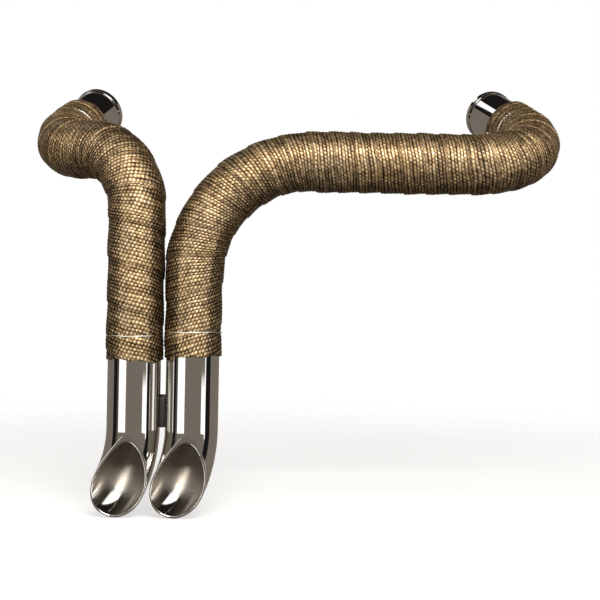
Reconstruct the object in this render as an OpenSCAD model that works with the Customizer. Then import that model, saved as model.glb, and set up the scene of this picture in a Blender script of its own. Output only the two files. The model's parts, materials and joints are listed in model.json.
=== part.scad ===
// Pair of wrapped drag pipes for the right-hand side of a V-twin engine.
// Frame: +X to the front of the engine, +Y in towards it, +Z up.
// Origin: the centre of the bracket's bolt hole, on the face that meets the engine's stay.
// Each pipe is a chain of straight tubes and bends, followed upwards from its tail to its port.

/* [Tube] */
// Outside diameter of the tube, 1 3/4 in
tube_od = 44.45; // [38:0.05:51]
// Wall of the tube, 16 gauge
tube_wall = 1.65; // [1.2:0.05:2.2]
// Gap between one tail's wrap and what stands out furthest on the other's
wrap_gap = 0.2; // [0.2:0.1:6]

/* [Front pipe] */
// Straight tail, from the bracket's mid-height up to the main bend
front_rise = 115.5; // [90:0.5:160]
// Centre-line radius of the main bend
front_main_clr = 97.5; // [70:0.5:130]
// Angle of the main bend
front_main_angle = 90; // [75:1:100]
// Straight run between the two bends
front_run = 127.5; // [60:0.5:200]
// Turn of the head bend about the run, where 90 points straight in
front_head_turn = 115; // [90:1:135]
// Centre-line radius of the head bend
front_head_clr = 66; // [50:0.5:90]
// Angle of the head bend
front_head_angle = 109; // [80:1:120]
// Straight stub that ends at the port
front_stub = 68; // [55:0.5:90]
// Bare tube between the port collar and the wrap
front_bare = 37; // [20:0.5:50]
// Height of the wrap's lower end above the bracket's mid-height
front_wrap_start = 48; // [40:0.5:70]

/* [Rear pipe] */
// Straight tail, from the bracket's mid-height up to the main bend
rear_rise = 169; // [120:0.5:220]
// Direction in which the main bend leaves the tail, seen from above
rear_main_turn = 144; // [120:1:180]
// Centre-line radius of the main bend
rear_main_clr = 54.5; // [46:0.5:80]
// Angle of the main bend
rear_main_angle = 85; // [70:1:100]
// Straight link between the two bends
rear_link = 17; // [5:0.5:60]
// Turn of the head bend about the link
rear_head_turn = -118; // [-150:1:-90]
// Centre-line radius of the head bend
rear_head_clr = 50; // [46:0.5:80]
// Angle of the head bend
rear_head_angle = 72; // [50:1:100]
// Straight stub that ends at the port
rear_stub = 60.5; // [50:0.5:90]
// Bare tube between the port collar and the wrap
rear_bare = 29; // [15:0.5:45]
// Height of the wrap's lower end above the bracket's mid-height
rear_wrap_start = 44; // [40:0.5:70]

/* [Port collars] */
// How far the port collar stands out of the tube
collar_step = 1.275; // [0.8:0.025:4]
// Length of the collar
collar_length = 9; // [6:0.5:16]
// Round on the collar's leading edge
collar_round = 2.5; // [0.5:0.1:3]
// Chamfer on the collar's trailing edge
collar_chamfer = 0.8; // [0.3:0.1:1.2]

/* [Turned-out tips] */
// Straight tail below the bracket's web
tip_below = 0.5; // [0.5:0.5:30]
// Centre-line radius of the turn-out
tip_clr = 69; // [60:0.5:100]
// Angle of the turn-out before the slash cut
tip_angle = 70; // [66:1:85]
// How far the turn-out points outwards from straight back
tip_outward = 60; // [30:1:80]
// Lean of the slash cut from upright, facing down
cut_lean = 7.5; // [5:0.5:12]
// Turn of the slash cut towards the back
cut_turn = 3.5; // [0:0.5:12]
// Depth below the turn-out's start at which the cut crosses the tail's axis
cut_drop = 174; // [150:1:190]

/* [Heat wrap] */
// Thickness of one layer of the tape
layer_t = 1.6; // [1:0.1:2]
// Layers over the straight tails
tail_layers = 1; // [1:0.25:1.25]
// Layers over the main bends
bend_layers = 1.5; // [1:0.25:2]
// Layers over the runs and the head bends
head_layers = 2; // [1:0.25:3]
// Height of the lower ties above the wrap's lower end
tie_rise = 20; // [10:0.5:24]
// Thickness of the tie wire
wire_d = 1.2; // [0.8:0.1:2]
// Length of a tie's twisted end
twist_length = 14; // [8:0.5:20]

/* [Bracket] */
// Height of the web between the tails
web_height = 25; // [18:0.5:32]
// How far the web stands in front of the tails' axes
web_front = 4; // [0:0.5:8]
// Distance from the tails' axes back to the stay
bracket_reach = 33; // [30:0.5:50]
// Height of the bolt hole above the web's mid-height
hole_rise = 24; // [22:0.5:40]
// Distance of the bolt hole to the front of the web
hole_side = 18; // [16:0.5:24]
// Thickness of the tab
tab_t = 5; // [3:0.5:8]
// Width of the tab
tab_w = 30; // [24:0.5:36]
// Bolt hole in the tab
hole_d = 10.5; // [8.4:0.1:13]
// Leg of the fillet welds
weld_leg = 3; // [2:0.1:4]
// Distance of the welds on the tails behind the tails' axes
weld_back = 5; // [4:0.5:7]

/* [Hidden] */
$fn = 96;
tube_r = tube_od / 2;
collar_od = tube_od + 2 * collar_step;
bore_r = tube_r - tube_wall;
tail_wrap_r = tube_r + tail_layers * layer_t;
bend_wrap_r = tube_r + bend_layers * layer_t;
head_wrap_r = tube_r + head_layers * layer_t;
pitch = tail_wrap_r + max(bend_wrap_r, tail_wrap_r + wire_d) + wrap_gap;
web_t = pitch - tube_od;
front_x = pitch / 2;
rear_x = -pitch / 2;
tip_drop = web_height / 2 + tip_below;
twist_d = 2 * wire_d;
tab_front = bracket_reach - tab_t;
foot_past = web_t / 2 + 2 * weld_leg;
// Overshoot of a cutting shape past the face it cuts
over = 1;
// Gap at each end of a straight stretch of wrap, where the wound tape changes course
course_gap = 0.1;
// Size of the block that makes the slash cuts
block = 8 * tube_od;

// ---- Places along the pipes -------------------------------------------------------------

// Moves to the far end of a bend that starts here going up and turns towards +X
module past_bend(clr, angle) {
    translate([clr * (1 - cos(angle)), 0, clr * sin(angle)])
        rotate([0, angle, 0])
            children();
}

// The tails' common frame: on the bracket's mid-height, half way between the two axes
module at_tails() {
    translate([-hole_side, -bracket_reach, -hole_rise])
        children();
}

module at_front_tail() {
    at_tails()
        translate([front_x, 0, 0])
            children();
}

module at_front_main_bend() {
    at_front_tail()
        translate([0, 0, front_rise])
            children();
}

module at_front_runner() {
    at_front_main_bend()
        past_bend(front_main_clr, front_main_angle)
            children();
}

module at_front_head_bend() {
    at_front_runner()
        translate([0, 0, front_run])
            rotate([0, 0, front_head_turn])
                children();
}

module at_front_stub() {
    at_front_head_bend()
        past_bend(front_head_clr, front_head_angle)
            children();
}

module at_rear_tail() {
    at_tails()
        translate([rear_x, 0, 0])
            rotate([0, 0, rear_main_turn])
                children();
}

module at_rear_main_bend() {
    at_rear_tail()
        translate([0, 0, rear_rise])
            children();
}

module at_rear_link() {
    at_rear_main_bend()
        past_bend(rear_main_clr, rear_main_angle)
            children();
}

module at_rear_head_bend() {
    at_rear_link()
        translate([0, 0, rear_link])
            rotate([0, 0, rear_head_turn])
                children();
}

module at_rear_stub() {
    at_rear_head_bend()
        past_bend(rear_head_clr, rear_head_angle)
            children();
}

// Start of a turned-out tip, going down and bending back and outwards
module at_tip(x) {
    at_tails()
        translate([x, 0, -tip_drop])
            mirror([0, 0, 1])
                rotate([0, 0, 180 + tip_outward])
                    children();
}

// ---- Shapes that repeat -----------------------------------------------------------------

// Straight piece of tube or sleeve, going up from here
module straight(length, outer, inner) {
    difference() {
        cylinder(h = length, r = outer);
        translate([0, 0, -over])
            cylinder(h = length + 2 * over, r = inner);
    }
}

// Straight stretch of wrap over the tube, going up from here
module wound(length, outer) {
    translate([0, 0, course_gap])
        straight(length - 2 * course_gap, outer, tube_r);
}

// Bent piece of tube or sleeve that starts here going up and turns towards +X
module bend(clr, angle, outer, inner) {
    translate([clr, 0, 0])
        rotate([90, 0, 180])
            rotate_extrude(angle = angle)
                translate([clr, 0])
                    difference() {
                        circle(r = outer);
                        circle(r = inner);
                    }
}

// Collar welded to the tube's end, from its trailing edge up to the port's face
module collar() {
    outer = collar_od / 2;
    rotate_extrude()
        difference() {
            translate([bore_r, 0])
                square([outer - bore_r, collar_length]);
            translate([outer, 0])
                rotate(45)
                    square(sqrt(2) * collar_chamfer, center = true);
            translate([outer - collar_round, collar_length - collar_round])
                difference() {
                    square(collar_round + over);
                    circle(r = collar_round);
                }
        }
}

// Ring of wire round a sleeve, with its twisted end lying along the inner side
module tie(sleeve_r, side) {
    rotate_extrude()
        translate([sleeve_r + wire_d / 2, 0])
            circle(r = wire_d / 2, $fn = 32);
    rotate([0, 0, side])
        translate([sleeve_r + twist_d / 2, 0, wire_d])
            cylinder(h = twist_length, r = twist_d / 2, $fn = 32);
}

// Everything in front of the slash cut of a tip whose tail has its axis at x
module slash(x) {
    at_tails()
        translate([x, 0, -tip_drop - cut_drop])
            rotate([0, 0, -cut_turn])
                rotate([cut_lean, 0, 0])
                    translate([0, -block / 2, 0])
                        cube(block, center = true);
}

module tip(x) {
    difference() {
        at_tip(x)
            bend(tip_clr, tip_angle, tube_r, bore_r);
        slash(x);
    }
}

// ---- Front pipe -------------------------------------------------------------------------

module front_port_collar() {
    color("silver")
        at_front_stub()
            translate([0, 0, front_stub - collar_length])
                collar();
}

module front_head_bend() {
    color("gainsboro")
        at_front_head_bend()
            union() {
                bend(front_head_clr, front_head_angle, tube_r, bore_r);
                past_bend(front_head_clr, front_head_angle)
                    straight(front_stub - collar_length, tube_r, bore_r);
            }
}

module front_runner() {
    color("gainsboro")
        at_front_runner()
            straight(front_run, tube_r, bore_r);
}

module front_main_bend() {
    color("gainsboro")
        at_front_main_bend()
            bend(front_main_clr, front_main_angle, tube_r, bore_r);
}

module front_tail() {
    color("gainsboro")
        at_front_tail()
            translate([0, 0, -tip_drop])
                straight(tip_drop + front_rise, tube_r, bore_r);
}

module front_tip() {
    color("gainsboro")
        tip(front_x);
}

module front_wrap() {
    color("peru") {
        at_front_tail()
            translate([0, 0, front_wrap_start])
                wound(front_rise - front_wrap_start, tail_wrap_r);
        at_front_main_bend()
            bend(front_main_clr, front_main_angle, bend_wrap_r, tube_r);
        at_front_runner()
            wound(front_run, head_wrap_r);
        at_front_head_bend()
            bend(front_head_clr, front_head_angle, head_wrap_r, tube_r);
        at_front_stub()
            wound(front_stub - collar_length - front_bare, head_wrap_r);
    }
}

module front_upper_tie() {
    color("lightgray")
        at_front_stub()
            translate([0, 0, wire_d])
                tie(head_wrap_r, 0);
}

module front_lower_tie() {
    color("lightgray")
        at_front_tail()
            translate([0, 0, front_wrap_start + tie_rise])
                tie(tail_wrap_r, 90);
}

// ---- Rear pipe --------------------------------------------------------------------------

module rear_port_collar() {
    color("silver")
        at_rear_stub()
            translate([0, 0, rear_stub - collar_length])
                collar();
}

module rear_head_bend() {
    color("gainsboro")
        at_rear_head_bend()
            union() {
                bend(rear_head_clr, rear_head_angle, tube_r, bore_r);
                past_bend(rear_head_clr, rear_head_angle)
                    straight(rear_stub - collar_length, tube_r, bore_r);
            }
}

module rear_link_tube() {
    color("gainsboro")
        at_rear_link()
            straight(rear_link, tube_r, bore_r);
}

module rear_main_bend() {
    color("gainsboro")
        at_rear_main_bend()
            bend(rear_main_clr, rear_main_angle, tube_r, bore_r);
}

module rear_tail() {
    color("gainsboro")
        at_rear_tail()
            translate([0, 0, -tip_drop])
                straight(tip_drop + rear_rise, tube_r, bore_r);
}

module rear_tip() {
    color("gainsboro")
        tip(rear_x);
}

module rear_wrap() {
    color("peru") {
        at_rear_tail()
            translate([0, 0, rear_wrap_start])
                wound(rear_rise - rear_wrap_start, tail_wrap_r);
        at_rear_main_bend()
            bend(rear_main_clr, rear_main_angle, bend_wrap_r, tube_r);
        at_rear_link()
            wound(rear_link, head_wrap_r);
        at_rear_head_bend()
            bend(rear_head_clr, rear_head_angle, head_wrap_r, tube_r);
        at_rear_stub()
            wound(rear_stub - collar_length - rear_bare, head_wrap_r);
    }
}

module rear_upper_tie() {
    color("lightgray")
        at_rear_stub()
            translate([0, 0, wire_d])
                tie(head_wrap_r, 0);
}

module rear_lower_tie() {
    color("lightgray")
        at_rear_tail()
            translate([0, 0, rear_wrap_start + tie_rise])
                tie(tail_wrap_r, 90 - rear_main_turn);
}

// ---- Bracket ----------------------------------------------------------------------------

module bracket_web() {
    color("dimgray")
        at_tails()
            translate([-web_t / 2, -web_front, -web_height / 2])
                cube([web_t, web_front + tab_front, web_height]);
}

// An upright with a round head, on a foot that passes behind the web
module bracket_tab() {
    color("dimgray")
        difference() {
            union() {
                translate([-tab_w / 2, -tab_t, -hole_rise - web_height / 2])
                    cube([tab_w, tab_t, hole_rise + web_height / 2]);
                translate([-hole_side - foot_past, -tab_t, -hole_rise - web_height / 2])
                    cube([hole_side + foot_past, tab_t, web_height]);
                rotate([90, 0, 0])
                    cylinder(h = tab_t, r = tab_w / 2);
            }
            translate([0, over, 0])
                rotate([90, 0, 0])
                    cylinder(h = tab_t + 2 * over, r = hole_d / 2);
        }
}

// Fillets that join the web to the two tails behind, and to the tab
module bracket_welds() {
    color("gray") {
        difference() {
            at_tails()
                for (side = [-1, 1])
                    translate([side * (web_t + weld_leg) / 2, weld_back + weld_leg / 2, 0])
                        cube([weld_leg, weld_leg, web_height], center = true);
            at_tails()
                for (x = [rear_x, front_x])
                    translate([x, 0, -web_height])
                        cylinder(h = 2 * web_height, r = tube_r);
        }
        at_tails()
            for (side = [0, 1])
                mirror([side, 0, 0])
                    translate([web_t / 2, tab_front, -web_height / 2])
                        linear_extrude(web_height)
                            polygon([[0, 0], [weld_leg, 0], [0, -weld_leg]]);
    }
}

front_port_collar();
front_head_bend();
front_runner();
front_main_bend();
front_tail();
front_tip();
front_wrap();
front_upper_tie();
front_lower_tie();
rear_port_collar();
rear_head_bend();
rear_link_tube();
rear_main_bend();
rear_tail();
rear_tip();
rear_wrap();
rear_upper_tie();
rear_lower_tie();
bracket_web();
bracket_tab();
bracket_welds();
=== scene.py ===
"""Pair of wrapped drag pipes for a V-twin: chrome tubes, woven heat wrap, tie wires and a bracket.

All sizes are in metres. +X points to the front of the engine, +Y in towards it, +Z up.
"""

import json
import math

import bmesh
import bpy
import numpy as np
from bpy.props import FloatProperty, FloatVectorProperty, IntProperty, PointerProperty
from bpy.types import Operator, Panel, PropertyGroup
from mathutils import Matrix, Vector

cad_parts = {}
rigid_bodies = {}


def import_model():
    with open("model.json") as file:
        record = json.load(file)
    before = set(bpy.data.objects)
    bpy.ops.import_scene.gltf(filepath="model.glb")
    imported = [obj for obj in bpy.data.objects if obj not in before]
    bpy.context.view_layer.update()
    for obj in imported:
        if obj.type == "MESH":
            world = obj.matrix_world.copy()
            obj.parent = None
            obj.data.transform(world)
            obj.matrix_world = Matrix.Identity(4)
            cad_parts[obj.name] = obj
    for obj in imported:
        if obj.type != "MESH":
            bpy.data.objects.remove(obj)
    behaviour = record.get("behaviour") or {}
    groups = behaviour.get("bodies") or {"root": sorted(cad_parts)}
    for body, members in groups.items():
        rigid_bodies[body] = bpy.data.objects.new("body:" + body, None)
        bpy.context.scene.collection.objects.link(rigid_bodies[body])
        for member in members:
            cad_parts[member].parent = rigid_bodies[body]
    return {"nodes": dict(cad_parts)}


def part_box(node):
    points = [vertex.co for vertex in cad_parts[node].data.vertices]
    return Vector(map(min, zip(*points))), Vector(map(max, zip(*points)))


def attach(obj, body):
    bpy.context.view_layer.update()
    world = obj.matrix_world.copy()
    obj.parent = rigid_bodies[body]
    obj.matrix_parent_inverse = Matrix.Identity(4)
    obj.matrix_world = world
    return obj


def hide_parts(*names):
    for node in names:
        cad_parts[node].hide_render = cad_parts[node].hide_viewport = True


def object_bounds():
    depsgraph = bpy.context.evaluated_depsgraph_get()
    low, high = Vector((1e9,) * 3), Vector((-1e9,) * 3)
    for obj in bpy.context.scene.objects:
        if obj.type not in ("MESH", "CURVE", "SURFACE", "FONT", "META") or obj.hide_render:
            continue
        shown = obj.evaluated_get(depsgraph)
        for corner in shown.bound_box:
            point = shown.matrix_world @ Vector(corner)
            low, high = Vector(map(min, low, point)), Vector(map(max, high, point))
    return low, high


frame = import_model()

bl_info = {
    "name": "Wrapped drag pipes",
    "version": (1, 0, 0),
    "blender": (4, 5, 0),
    "location": "View3D > Sidebar > Drag pipes",
    "description": "Builds a pair of wrapped drag pipes around their packed frame",
    "category": "Object",
}

CAD_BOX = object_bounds()
MM = 0.001

# ---- What the frame gives ---------------------------------------------------------------

FRONT_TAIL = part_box("front_tail")
REAR_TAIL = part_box("rear_tail")
TUBE_R = (FRONT_TAIL[1].x - FRONT_TAIL[0].x) / 2
TUBE_WALL = 1.65 * MM
BORE_R = TUBE_R - TUBE_WALL
COLLAR_R = 23.5 * MM
COLLAR_LENGTH = 9 * MM
COLLAR_LEAD = 2.5 * MM
COLLAR_TOE = 3.5 * MM

# Bends, run and stub of each pipe: turns and angles in degrees
FRONT = {
    "name": "front", "main_turn": 0, "main_clr": 97.5 * MM, "main_angle": 90, "run": 127.5 * MM,
    "head_turn": 115, "head_clr": 66 * MM, "head_angle": 109, "stub": 68 * MM, "bare": 37 * MM,
}
REAR = {
    "name": "rear", "main_turn": 144, "main_clr": 54.5 * MM, "main_angle": 85, "run": 17 * MM,
    "head_turn": -118, "head_clr": 50 * MM, "head_angle": 72, "stub": 60.5 * MM, "bare": 29 * MM,
}
TIP = {
    "clr": 69 * MM, "angle": 70, "outward": 60,
    "cut_lean": 7.5, "cut_turn": 3.5, "cut_drop": 174 * MM,
}
LAYER = 1.6 * MM
TIE_RISE = 20 * MM
TIE_WIRE = 1.2 * MM
FREE_EDGE = 0.05  # share of a turn that its free edge takes


def ease(low, high, value):
    """Smooth step from 0 at low to 1 at high."""
    t = np.clip((np.asarray(value, float) - low) / (high - low), 0.0, 1.0)
    return t * t * (3 - 2 * t)


class Route:
    """Centre line made of straights and bends, with a frame that never twists about it."""

    def __init__(self, start, across, up, stretches):
        """up is the direction it starts in, across the direction that angle 0 points in."""
        self.parts = []
        point = np.array(start, float)
        n, t = np.array(across, float), np.array(up, float)
        b = np.cross(t, n)
        done = 0.0
        for stretch in stretches:
            if stretch[0] == "straight":
                length, clr, turn = stretch[1], 0.0, 0.0
            else:
                clr, turn = stretch[1], math.radians(stretch[3])
                length = clr * math.radians(stretch[2])
            part = {"from": done, "length": length, "clr": clr, "turn": turn}
            part.update(p=point, n=n, b=b, t=t)
            self.parts.append(part)
            point, n, b, t = (v[0] for v in self._along(part, np.array([length])))
            done += length
        self.length = done

    @staticmethod
    def _along(part, d):
        d = d[:, None]
        n, b, t = part["n"], part["b"], part["t"]
        if not part["clr"]:
            ones = np.ones_like(d)
            return part["p"] + d * t, ones * n, ones * b, ones * t
        angle, cos, sin = d / part["clr"], math.cos(part["turn"]), math.sin(part["turn"])
        inward, side = cos * n + sin * b, cos * b - sin * n
        p = part["p"] + part["clr"] * (inward * (1 - np.cos(angle)) + t * np.sin(angle))
        toward = inward * np.cos(angle) - t * np.sin(angle)
        ahead = t * np.cos(angle) + inward * np.sin(angle)
        return p, cos * toward - sin * side, sin * toward + cos * side, ahead

    def frames(self, s):
        """Points and frames at the distances s, and how sharply the line bends at 0 and 90."""
        s = np.asarray(s, float)
        flat = s.ravel()
        out = [np.zeros((flat.size, 3)) for _ in range(4)]
        curve = np.zeros((flat.size, 2))
        for i, part in enumerate(self.parts):
            low = part["from"] if i else -np.inf
            high = part["from"] + part["length"] if i < len(self.parts) - 1 else np.inf
            here = (flat >= low) & (flat < high)
            for whole, piece in zip(out, self._along(part, flat[here] - part["from"])):
                whole[here] = piece
            if part["clr"]:
                curve[here] = [f(part["turn"]) / part["clr"] for f in (math.cos, math.sin)]
        return [v.reshape(s.shape + (3,)) for v in out] + [curve.reshape(s.shape + (2,))]

    def surface(self, s, angle, radius):
        """Points at a radius from the line, at an angle round it."""
        p, n, b, _, _ = self.frames(s)
        angle = np.asarray(angle)[..., None]
        return p + np.asarray(radius)[..., None] * (np.cos(angle) * n + np.sin(angle) * b)


def pipe_route(pipe):
    """Centre line of a pipe from the foot of its tail to the face of its port."""
    low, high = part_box(pipe["name"] + "_tail")
    middle = (low + high) / 2
    return Route(
        (middle.x, middle.y, low.z), (1, 0, 0), (0, 0, 1),
        [
            ("straight", high.z - low.z),
            ("bend", pipe["main_clr"], pipe["main_angle"], pipe["main_turn"]),
            ("straight", pipe["run"]),
            ("bend", pipe["head_clr"], pipe["head_angle"], pipe["main_turn"] + pipe["head_turn"]),
            ("straight", pipe["stub"]),
        ],
    )


ROUTES = {pipe["name"]: pipe_route(pipe) for pipe in (FRONT, REAR)}


# ---- Meshes -----------------------------------------------------------------------------


def mesh_piece(name, verts, faces, attributes=None, merge=0.0, sharp=None):
    """Object from points and faces, smooth, with one value a point for each attribute."""
    mesh = bpy.data.meshes.new(name)
    mesh.from_pydata([tuple(v) for v in verts], [], faces)
    for key, values in (attributes or {}).items():
        layer = mesh.attributes.new(key, "FLOAT", "POINT")
        layer.data.foreach_set("value", np.asarray(values, np.float32))
    bm = bmesh.new()
    bm.from_mesh(mesh)
    if merge:
        bmesh.ops.remove_doubles(bm, verts=bm.verts, dist=merge)
    bmesh.ops.recalc_face_normals(bm, faces=bm.faces)
    bm.to_mesh(mesh)
    bm.free()
    mesh.shade_smooth()
    if sharp is not None:
        mesh.set_sharp_from_angle(angle=math.radians(sharp))
    piece = bpy.data.objects.new(name, mesh)
    bpy.context.scene.collection.objects.link(piece)
    return piece


def ring_faces(columns, rows, closed=True, first=0):
    """Faces of a grid listed column by column, whose columns go all the way round."""
    i = np.arange(columns)[:, None]
    j = np.arange(rows if closed else rows - 1)[None, :]
    i2, j2 = (i + 1) % columns, (j + 1) % rows
    quads = np.stack([i * rows + j + 0 * i2, i2 * rows + j, i2 * rows + j2, i * rows + j2], -1)
    return (quads.reshape(-1, 4) + first).tolist()


def looped(name, points, attributes=None, sharp=None):
    """Object from a grid of points that closes on itself both ways round."""
    columns, rows = points.shape[:2]
    faces = ring_faces(columns, rows)
    return mesh_piece(name, points.reshape(-1, 3), faces, attributes, sharp=sharp)


def rod(points, radii, sides=10):
    """Points and faces of a round rod along a line of points, closed at its ends."""
    points = np.asarray(points, float)
    radii = np.broadcast_to(radii, len(points))
    ahead = np.gradient(points, axis=0)
    ahead /= np.linalg.norm(ahead, axis=1)[:, None]
    side = np.cross(ahead[0], [0.3, 0.5, 0.81])
    rings = []
    for p, t, r in zip(points, ahead, radii):
        side = side - t * np.dot(side, t)
        side /= np.linalg.norm(side)
        other = np.cross(t, side)
        a = np.arange(sides) * 2 * math.pi / sides
        rings.append(p + r * (np.cos(a)[:, None] * side + np.sin(a)[:, None] * other))
    verts = np.concatenate(rings)
    faces = []
    for k in range(len(points) - 1):
        for a in range(sides):
            b = (a + 1) % sides
            faces.append([k * sides + a, k * sides + b, (k + 1) * sides + b, (k + 1) * sides + a])
    faces.append(list(range(sides))[::-1])
    faces.append([(len(points) - 1) * sides + a for a in range(sides)])
    return verts, faces


def joined(name, solids):
    """One object from several lists of points and faces."""
    verts, faces, done = [], [], 0
    for v, f in solids:
        verts.append(v)
        faces += [[i + done for i in face] for face in f]
        done += len(v)
    return mesh_piece(name, np.concatenate(verts), faces)


def finish_piece(piece, material, slot, *nodes):
    """Gives a piece its material and its place in the frame."""
    piece.data.materials.clear()
    piece.data.materials.append(material)
    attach(piece, "root")
    if nodes:
        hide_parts(*nodes)


# ---- Shader nodes -----------------------------------------------------------------------


class Value:
    """Output of a shader node that can be used in arithmetic."""

    def __init__(self, graph, socket):
        self.graph, self.socket = graph, socket

    def _math(self, operation, *terms):
        return self.graph.node("ShaderNodeMath", {"operation": operation}, dict(enumerate(terms)))

    def __add__(self, other):
        return self._math("ADD", self, other)

    def __sub__(self, other):
        return self._math("SUBTRACT", self, other)

    def __rsub__(self, other):
        return self._math("SUBTRACT", other, self)

    def __mul__(self, other):
        return self._math("MULTIPLY", self, other)

    __radd__ = __add__
    __rmul__ = __mul__

    def window(self, low, high, soft):
        """1 between low and high, falling to 0 over the distance soft outside them."""
        return self.rise(low - soft, low) * (1 - self.rise(high, high + soft))

    def rise(self, low, high):
        """0 below low, 1 above high and smooth between them."""
        return self.graph.node(
            "ShaderNodeMapRange", {"interpolation_type": "SMOOTHSTEP"},
            {"Value": self, "From Min": low, "From Max": high, "To Min": 0.0, "To Max": 1.0},
        )


class Graph:
    """Adds nodes to a material or a world."""

    def __init__(self, owner):
        owner.use_nodes = True
        self.tree = owner.node_tree
        self.tree.nodes.clear()

    def node(self, kind, settings=None, inputs=None, output=0):
        """Adds a node: its settings are made first, then its sockets get values or links."""
        added = self.tree.nodes.new(kind)
        for key, value in (settings or {}).items():
            if key == "stops":
                ramp = added.color_ramp
                while len(ramp.elements) < len(value):
                    ramp.elements.new(0.5)
                for element, (place, colour) in zip(ramp.elements, value):
                    element.position, element.color = place, colour
            else:
                setattr(added, key, value)
        for key, value in (inputs or {}).items():
            if isinstance(value, Value):
                self.tree.links.new(value.socket, added.inputs[key])
            else:
                added.inputs[key].default_value = value
        return Value(self, added.outputs[output]) if added.outputs else None

    def mix(self, factor, first, second, blend="MIX"):
        """Mixes two colours."""
        settings = {"data_type": "RGBA", "blend_type": blend}
        return self.node("ShaderNodeMix", settings, {0: factor, 6: first, 7: second}, output=2)

    def place(self):
        return self.node("ShaderNodeTexCoord", output="Object")

    def noise(self, scale, detail=2.0, rough=0.5, stretch=None):
        """Noise in the piece's own space, with scale in cells a metre."""
        where = self.place()
        if stretch:
            where = self.node("ShaderNodeMapping", inputs={"Vector": where, "Scale": stretch})
        values = {"Vector": where, "Scale": scale, "Detail": detail, "Roughness": rough}
        return self.node("ShaderNodeTexNoise", inputs=values)

    def attribute(self, name):
        return self.node("ShaderNodeAttribute", {"attribute_name": name}, output="Fac")

    def bump(self, height, distance, strength=1.0, normal=None):
        values = {"Height": height, "Distance": distance, "Strength": strength}
        if normal is not None:
            values["Normal"] = normal
        return self.node("ShaderNodeBump", inputs=values)

    def surface(self, **sockets):
        """Principled surface with the sockets named by their labels, with _ for a space."""
        values = {key.replace("_", " "): value for key, value in sockets.items()}
        shader = self.node("ShaderNodeBsdfPrincipled", inputs=values)
        self.node("ShaderNodeOutputMaterial", inputs={"Surface": shader})


def material(name):
    made = bpy.data.materials.new(name)
    return made, Graph(made)


def shade(colour, factor):
    return tuple(c * factor for c in colour[:3]) + (1.0,)


def chrome_material(sizes):
    """Polished chrome plate, faintly hazed and wavy, that turns to bare steel deep in the bore."""
    made, g = material("polished_chrome")
    deep = g.attribute("deep")
    haze = g.noise(260.0, 4.0, 0.6)
    tone = g.noise(14.0, 1.0)
    plate = g.mix(tone, tuple(sizes.chrome), shade(sizes.chrome, 0.93))
    raw = g.mix(haze, tuple(sizes.bore), shade(sizes.bore, 0.75))
    wave = g.noise(34.0, 1.0)
    normal = g.bump(wave, sizes.waviness)
    g.surface(
        Base_Color=g.mix(deep, plate, raw),
        Metallic=1 - deep * 0.5,
        Roughness=sizes.polish + haze * 0.03 + deep * 0.32,
        Normal=normal,
    )
    return made


def hidden_tube_material(sizes):
    """Plain mill-finish tube under the wrap."""
    made, g = material("mill_finish_tube")
    grain = g.noise(900.0, 3.0, 0.6)
    patch = g.noise(30.0, 2.0)
    g.surface(
        Base_Color=g.mix(patch, tuple(sizes.bore), shade(sizes.bore, 1.4)),
        Metallic=1.0,
        Roughness=0.3 + grain * 0.2,
        Normal=g.bump(grain, 0.02 * MM),
    )
    return made


def wrap_material(sizes):
    """Woven mineral-fibre tape: bronze yarn, gold beads, painted shade in the holes, the gaps and
    under each turn's edge, and a painted highlight where it faces the front.
    """
    made, g = material("woven_heat_wrap")
    crest, thread = g.attribute("crest"), g.attribute("thread")
    edge, rubbed = g.attribute("edge"), g.attribute("rubbed")
    fibre = g.noise(2600.0, 2.0, 0.6)
    patch = g.noise(38.0, 2.0, 0.5)
    # Painted highlight: tape that faces the front is lifted 0.2 towards the crest colour.
    depth = crest * 0.76 + fibre * 0.34 - 0.12 + (thread - 0.5) * 0.5 + rubbed * 0.2
    # Painted shade: low crest values, in the gaps between ribs and between beads, take the
    # near-black gap colour.
    yarn = g.node(
        "ShaderNodeValToRGB",
        {"stops": [
            (0.18, tuple(sizes.gap)), (0.44, shade(sizes.yarn, 0.5)),
            (0.64, tuple(sizes.yarn)), (0.95, tuple(sizes.crest)),
        ]},
        {"Fac": depth},
    )
    warm = g.mix(patch * 0.5, yarn, tuple(sizes.gold), "SOFT_LIGHT")
    # Painted shadow: the row under each turn's free edge is darkened three quarters of the way to
    # the gap colour.
    colour = g.mix(edge * 0.75, warm, tuple(sizes.gap))
    g.surface(
        Base_Color=colour,
        Metallic=0.8,
        Roughness=0.3 + fibre * 0.16 + (1 - crest) * 0.12,
        Normal=g.bump(fibre, 0.1 * MM, 0.7),
    )
    return made


def wire_material(sizes):
    """Drawn stainless wire with fine lengthwise scratches."""
    made, g = material("stainless_tie_wire")
    scratch = g.noise(1500.0, 3.0, 0.7)
    g.surface(
        Base_Color=g.mix(scratch, tuple(sizes.wire), shade(sizes.wire, 0.8)),
        Metallic=1.0,
        Roughness=0.18 + scratch * 0.16,
        Normal=g.bump(scratch, 0.01 * MM),
    )
    return made


def bracket_material(sizes):
    """Dull plated steel with rolled grain and darker handling patches."""
    made, g = material("plated_bracket_steel")
    grain = g.noise(420.0, 3.0, 0.6, (1.0, 1.0, 0.12))
    patch = g.noise(60.0, 2.0)
    # Partly painted shade: the dark steel colour is the plating's tone and also stands in for the
    # shade and dark reflections the strap has between the tails.
    g.surface(
        Base_Color=g.mix(patch, tuple(sizes.steel), shade(sizes.steel, 0.6)),
        Metallic=0.9,
        Roughness=0.3 + grain * 0.22,
        Normal=g.bump(grain, 0.03 * MM),
    )
    return made


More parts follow.
